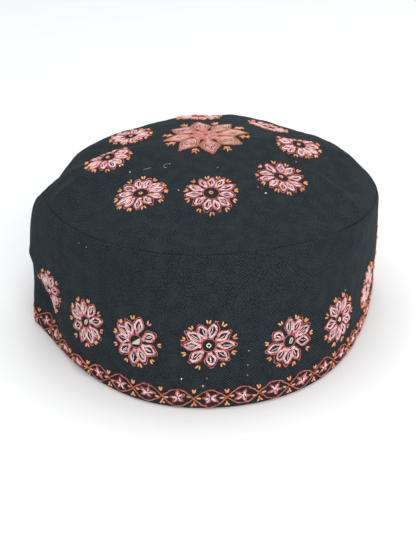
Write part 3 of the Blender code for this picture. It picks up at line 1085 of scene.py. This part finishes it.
CrownSpot = namedtuple("CrownSpot", "x y wide long petals")
CROWN_SPOTS = (
    CrownSpot(-34.2, -44.8, 1.00, 1.16, (5, 30, 62, 92, 125, 160, 192, 222, 258, 292, 330)),
    CrownSpot(-4.3, -54.7, 0.96, 1.25, (18, 52, 80, 108, 145, 178, 212, 248, 280, 312, 345)),
    CrownSpot(28.3, -42.0, 0.96, 1.22, (12, 48, 80, 118, 160, 196, 232, 262, 296, 330)),
    CrownSpot(42.5, -10.0, 0.92, 0.94, 11),
    CrownSpot(35.2, 35.2, 0.86, 1.15, 11),
    CrownSpot(1.5, 41.0, 0.95, 1.00, 11),
    CrownSpot(-34.1, 19.5, 0.88, 1.00, 11),
    CrownSpot(-46.5, -9.5, 0.96, 0.86, 11),
)
for number, spot in enumerate(CROWN_SPOTS):
    petals = even(spot.petals, 60 + number) if isinstance(spot.petals, int) else spot.petals
    lay = on_crown(spot.x * MM, spot.y * MM, wide=spot.wide, long=spot.long)
    rosette("crown_rosette", lay, petals, CROWN_CUT, 200 + number)
    diamond_heart("crown_rosette_hearts", lay, 0.9, 0.65)

medallion("medallion", on_crown(0.0002, 0.0010, wide=0.93, long=0.93), -88, 7)

# The border: its eyes round the rim, the first crossing and their pitch in metres, and in millimetres
# the height of its middle line, how far the two lines swing from it, and the hand's error in them.
BORDER_COUNT = 40
BORDER_START = -1.8 * MM
BORDER_PITCH = RIM_ROUND / BORDER_COUNT
BORDER_LINE = 5.35
BORDER_SWING = 3.9
BORDER_ERROR = 0.14

# The stitches above, below and in a crossing, each as the X and then the Y of its two ends.
BORDER_TREFOILS = (
    ((0.05, 0.75), (2.2, 4.1)),
    ((-0.05, -0.8), (2.2, 4.0)),
    ((0.0, 0.0), (-1.5, -2.7)),
    ((0.1, 1.15), (-2.6, -3.7)),
    ((-0.1, -1.15), (-2.6, -3.7)),
)


def border():
    """Two lines that cross and part round the rim, with a small flower in each eye between them."""
    rng = np.random.default_rng(31)
    s = np.arange(0, RIM_ROUND, RIM_ROUND / (BORDER_COUNT * 12))
    wander = 0.25 * np.sin(s / 0.019) + 0.2 * np.sin(s / 0.0083 + 1)
    for side in (1, -1):
        swing = side * BORDER_SWING * np.sin(np.pi * s / BORDER_PITCH)
        swing = swing * (1 + 0.05 * np.sin(s / 0.027 + side)) + rng.normal(0, BORDER_ERROR, len(s))
        points, normals = border_lay(BORDER_START + s, (BORDER_LINE + swing + wander * 0.8) * MM)
        raised = (0.28 if side > 0 else 0.12) * MM
        work("border_waves").add(points + raised * normals, normals, 0.5 * MM, True)
    for k in range(BORDER_COUNT):
        crossing = BORDER_START + k * BORDER_PITCH
        lay = on_band(crossing, BORDER_LINE * MM, rng.uniform(-10, 10))
        for x, y in BORDER_TREFOILS:
            line = by_hand(np.array([x, y]), rng, 0.12)
            draw("border_sprigs", lay, *line, width=0.85, raised=0.16)
        lay = on_band(crossing + BORDER_PITCH / 2, BORDER_LINE * MM, rng.uniform(-8, 8))
        for side in (-1, 1):
            x = np.array([3.9, 5.9 + rng.uniform(-0.3, 0.3)]) * side
            draw("border_sprigs", lay, x, rng.uniform(-0.3, 0.3, 2), width=0.9, raised=0.16)
        first = rng.uniform(0, 72)
        for petal in range(5):
            direction = first + 72 * petal + rng.uniform(-9, 9)
            tip = rng.uniform(3.3, 4.6)
            for aside in (-1, 1):
                a, b = np.radians(direction), np.radians(direction + 36 * aside)
                x = [1.35 * np.cos(b), tip * np.cos(a)]
                y = [1.2 * np.sin(b), tip * 0.76 * np.sin(a)]
                line = by_hand(np.array([x, y]), rng, 0.2)
                draw("border_flower_outlines", lay, *line, width=0.72, raised=0.12)
            x, y = spoke(direction + rng.uniform(-9, 9), 0.3, tip * 0.74)
            draw("border_flower_petals", lay, x, y * 0.82, width=0.8, raised=0.2)
        for aside in (-0.9, 0.9):
            x, y = spoke(rng.uniform(0, 360), -0.2, 1.5)
            x = x + aside * rng.uniform(0.3, 1)
            draw("border_flower_hearts", lay, x, y * 0.78, width=0.5, raised=0.42)


border()

# Lint and stray stitches that the photo shows. Places and sizes are in millimetres.
CrownStray = namedtuple("CrownStray", "x y direction length width colour")
CROWN_STRAYS = (
    CrownStray(-37.5, -24.9, 100, 0.6, 0.6, "white"),
    CrownStray(-17.8, -48.5, 80, 0.5, 0.5, "pink"),
    CrownStray(18.8, -57.5, 20, 0.7, 0.6, "white"),
    CrownStray(38.3, -25.6, 60, 0.5, 0.5, "lint"),
    CrownStray(16.3, -52.6, 15, 0.7, 0.5, "rust"),
    CrownStray(1.5, -32.3, 5, 0.9, 0.6, "rust"),
    CrownStray(-29.6, -25.2, 8, 4.0, 0.22, "lint"),
)
BandStray = namedtuple("BandStray", "arc height direction length width colour")
BAND_STRAYS = (
    BandStray(-21.6, 14.2, 60, 0.6, 0.6, "white"),
    BandStray(7.2, 26.2, 30, 0.5, 0.5, "lint"),
    BandStray(7.0, 19.4, 120, 0.5, 0.5, "lint"),
    BandStray(-65.4, 31.5, 40, 0.6, 0.6, "white"),
    BandStray(64.3, 36.3, 45, 0.6, 0.5, "lint"),
    BandStray(-10.6, 14.9, 125, 1.4, 0.6, "rust"),
    BandStray(-12.2, 11.3, 70, 0.8, 0.8, "orange"),
    BandStray(6.9, 14.8, 40, 0.7, 0.5, "rust"),
    BandStray(-86.0, 64.6, 10, 0.5, 0.3, "lint"),
    BandStray(-79.0, 64.6, 15, 0.6, 0.35, "lint"),
)
for stray in CROWN_STRAYS + BAND_STRAYS:
    if isinstance(stray, CrownStray):
        lay = on_crown(stray.x * MM, stray.y * MM)
    else:
        lay = on_band(stray.arc * MM, stray.height * MM)
    x, y = spoke(stray.direction, -stray.length / 2, stray.length / 2)
    draw("stray_" + stray.colour, lay, x, y, width=stray.width, raised=0.15)

# A loose loop of fluff in front of the medallion.
x, y = circle(1.9, 12)
draw("stray_lint", on_crown(-20.4 * MM, -24.6 * MM), x[:10], 0.9 * y[:10], width=0.24, raised=0.15)


# The machine's stitches lie in the groove, just below the seam's line.
MACHINE_PITCH = 0.0027
MACHINE_STITCH = 0.0019
MACHINE_ERROR = 0.0004
BELOW_SEAM = 0.0004
BELOW_SEAM_ERROR = 0.0001


def seam_stitches():
    """The black machine stitches that show in the seam between crown and band."""
    rng = np.random.default_rng(12)
    length = SEAM_ARC[-1] - SEAM_ARC[0]
    count = int(length / MACHINE_PITCH)
    for k in range(count):
        start = SEAM_ARC[0] + length * k / count
        end = start + MACHINE_STITCH + rng.uniform(-MACHINE_ERROR, MACHINE_ERROR)
        arc = np.linspace(start, end, 3)
        angle = np.interp(arc, SEAM_ARC, TABLE_ANGLES)
        from_seam = BELOW_SEAM + rng.uniform(-BELOW_SEAM_ERROR, BELOW_SEAM_ERROR)
        points, normals = band_face(angle, 1 - from_seam / seam_height(angle))
        work("seam_stitches").add(points + 0.02 * MM * normals, normals, 0.42 * MM, False)


seam_stitches()

# Stitching.

LINE_TREE, LINE_KEYS = line_stitch_tree()
STRAIGHT_TREE, STRAIGHT_KEYS = straight_stitch_tree()
STEM = new_object("stem_stitch_shape", stem_stitch(0.00190, 0.00019))
CORD = new_object("cord_stitch_shape", stem_stitch(0.00200, 0.00024))
CHAIN = new_object("chain_stitch_shape", chain_stitch(0.0019, 0.00026, 0.00019))
UNEVENNESS = 0.08
STRAND_TWIST = 1800.0

# Work of many small stitches along a line: the stitch, its pitch in millimetres, its lean and thread.
LINE_WORK = (
    ("band_rosette_outlines", STEM, 1.15, 0.12, "rust"),
    ("band_rosette_petals", CHAIN, 1.28, 0.0, "pink"),
    ("crown_rosette_outlines", STEM, 1.15, 0.12, "rust"),
    ("crown_rosette_petals", CHAIN, 1.28, 0.0, "pink"),
    ("medallion_outlines", CORD, 0.90, 0.16, "rust"),
    ("medallion_bands", CHAIN, 1.28, 0.0, "salmon"),
    ("medallion_petals", CHAIN, 1.28, 0.0, "rose"),
    ("medallion_veins", STEM, 1.00, 0.16, "straw"),
    ("border_waves", CORD, 1.15, 0.18, "rust"),
)
# Work whose every line is one stitch: how high the stitch arches, in millimetres, and its thread.
STRAIGHT_WORK = (
    ("band_rosette_veins", 0.15, "cream"),
    ("band_rosette_hearts", 0.15, "cream"),
    ("band_rosette_sprigs", 0.22, "orange"),
    ("crown_rosette_veins", 0.15, "cream"),
    ("crown_rosette_hearts", 0.15, "orange"),
    ("crown_rosette_sprigs", 0.22, "orange"),
    ("medallion_hearts", 0.18, "rose"),
    ("medallion_sprigs", 0.22, "orange"),
    ("border_flower_outlines", 0.12, "rust"),
    ("border_flower_petals", 0.15, "pink"),
    ("border_flower_hearts", 0.15, "white"),
    ("border_sprigs", 0.22, "orange"),
    ("seam_stitches", 0.05, "black"),
    ("stray_white", 0.2, "white"),
    ("stray_lint", 0.1, "lint"),
    ("stray_pink", 0.2, "pink"),
    ("stray_rust", 0.2, "rust"),
    ("stray_orange", 0.2, "orange"),
)

pieces = []
for seed, (name, stitch, pitch, lean, colour) in enumerate(LINE_WORK):
    sizes = {"Stitch": stitch, "Pitch": pitch * MM, "Lean": lean, "Unevenness": UNEVENNESS}
    pieces.append(stitched(name, LINE_TREE, LINE_KEYS, **sizes, Seed=seed, Thread=THREADS[colour]))
for seed, (name, arch, colour) in enumerate(STRAIGHT_WORK, 50):
    sizes = {"Arch": arch * MM, "Twist": STRAND_TWIST}
    pieces.append(stitched(name, STRAIGHT_TREE, STRAIGHT_KEYS, **sizes, Seed=seed, Thread=THREADS[colour]))
for shape in (STEM, CORD, CHAIN):
    bpy.data.objects.remove(shape)

for piece in pieces:
    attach(piece, "root")
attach(band_cloth, "root")
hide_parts("side_band")
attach(crown_cloth, "root")
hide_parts("crown")

# Floor, lights and camera.

MOTTLE = 25 * MM


def make_floor():
    """Fibreboard painted matt white: pale and faintly mottled, so that soft shadows show on it."""
    mesh = bpy.data.meshes.new("floor")
    mesh.from_pydata([(-6, -6, 0), (6, -6, 0), (6, 6, 0), (-6, 6, 0)], [], [(0, 1, 2, 3)])
    floor = new_object("floor", mesh)
    material, tree, shader = new_material("matt_white_board", 0.9, 0.0, "#ffffff")
    place = add(tree, "ShaderNodeTexCoord").outputs["Object"]
    grain = add(tree, "ShaderNodeTexNoise", {"Vector": place}, in_Scale=1 / MOTTLE, in_Detail=3.0)
    ends = {"in_6": linear("#edeeee"), "in_7": linear("#f1f1f2")}
    colour = add(tree, "ShaderNodeMix", {"Factor": grain.outputs["Fac"]}, data_type="RGBA", **ends)
    tree.links.new(colour.outputs[2], shader.inputs["Base Color"])
    floor.data.materials.append(material)


make_floor()

Light = namedtuple("Light", "name place aim size power colour")
LIGHTS = (
    Light("top_softbox", (0.12, 0.15, 1.15), (0, 0, 0.05), 0.9, 7.0, "#ffffff"),
    Light("front_softbox", (0.12, -1.2, 0.60), (0, 0, 0.05), 0.7, 9.4, "#fffdf8"),
    Light("right_fill", (1.1, -0.4, 0.5), (0, 0, 0.05), 0.8, 0.9, "#f4f8ff"),
)
for light in LIGHTS:
    data = bpy.data.lights.new(light.name, "AREA")
    data.size = light.size
    data.energy = light.power
    data.color = linear(light.colour)[:3]
    lamp = bpy.data.objects.new(light.name, data)
    bpy.context.collection.objects.link(lamp)
    lamp.location = light.place
    aim = Vector(light.aim) - Vector(light.place)
    lamp.rotation_euler = aim.to_track_quat("-Z", "Y").to_euler()

world = bpy.data.worlds.new("studio")
bpy.context.scene.world = world
world.use_nodes = True
room_light = world.node_tree.nodes["Background"].inputs
room_light["Color"].default_value = linear("#f2f5f8")
room_light["Strength"].default_value = 0.72
bpy.context.scene.view_settings.view_transform = "Standard"

# The camera that was fitted to the photo: how far it looks down, turns and rolls, its distance, the
# point that it looks at, and its focal length in pixels of a frame 555 pixels high. The photo's middle
# lies off the optical axis.
CAMERA_DOWN = np.radians(25.6)
CAMERA_TURN = np.radians(5.65)
CAMERA_ROLL = np.radians(-2.65)
CAMERA_DISTANCE = 0.6364
CAMERA_TARGET = np.array([0.0021, 0.0, 0.040])
FOCAL_PIXELS = 1314.5
FRAME_HEIGHT = 555
AXIS_ASIDE = -4.0
AXIS_ABOVE = 53.7
SENSOR = 24.0


def make_camera():
    data = bpy.data.cameras.new("camera")
    camera = bpy.data.objects.new("camera", data)
    bpy.context.collection.objects.link(camera)
    back_turn = np.array(
        [
            [np.cos(CAMERA_TURN), np.sin(CAMERA_TURN), 0],
            [-np.sin(CAMERA_TURN), np.cos(CAMERA_TURN), 0],
            [0, 0, 1],
        ]
    )
    forward = back_turn @ [0, np.cos(CAMERA_DOWN), -np.sin(CAMERA_DOWN)]
    upward = back_turn @ [0, np.sin(CAMERA_DOWN), np.cos(CAMERA_DOWN)]
    right = back_turn @ [1, 0, 0]
    c, s = np.cos(CAMERA_ROLL), np.sin(CAMERA_ROLL)
    across, above = c * right + s * upward, -s * right + c * upward
    place = CAMERA_TARGET - SHIFT - CAMERA_DISTANCE * forward
    columns = np.stack([across, above, -forward], axis=1)
    matrix = Matrix(columns.tolist()).to_4x4()
    matrix.translation = Vector(place.tolist())
    camera.matrix_world = matrix
    data.sensor_fit = "VERTICAL"
    data.sensor_height = SENSOR
    data.lens = FOCAL_PIXELS * SENSOR / FRAME_HEIGHT
    data.shift_x = -AXIS_ASIDE / FRAME_HEIGHT
    data.shift_y = -AXIS_ABOVE / FRAME_HEIGHT
    data.clip_start = 0.01
    data.clip_end = 30
    bpy.context.scene.camera = camera


make_camera()
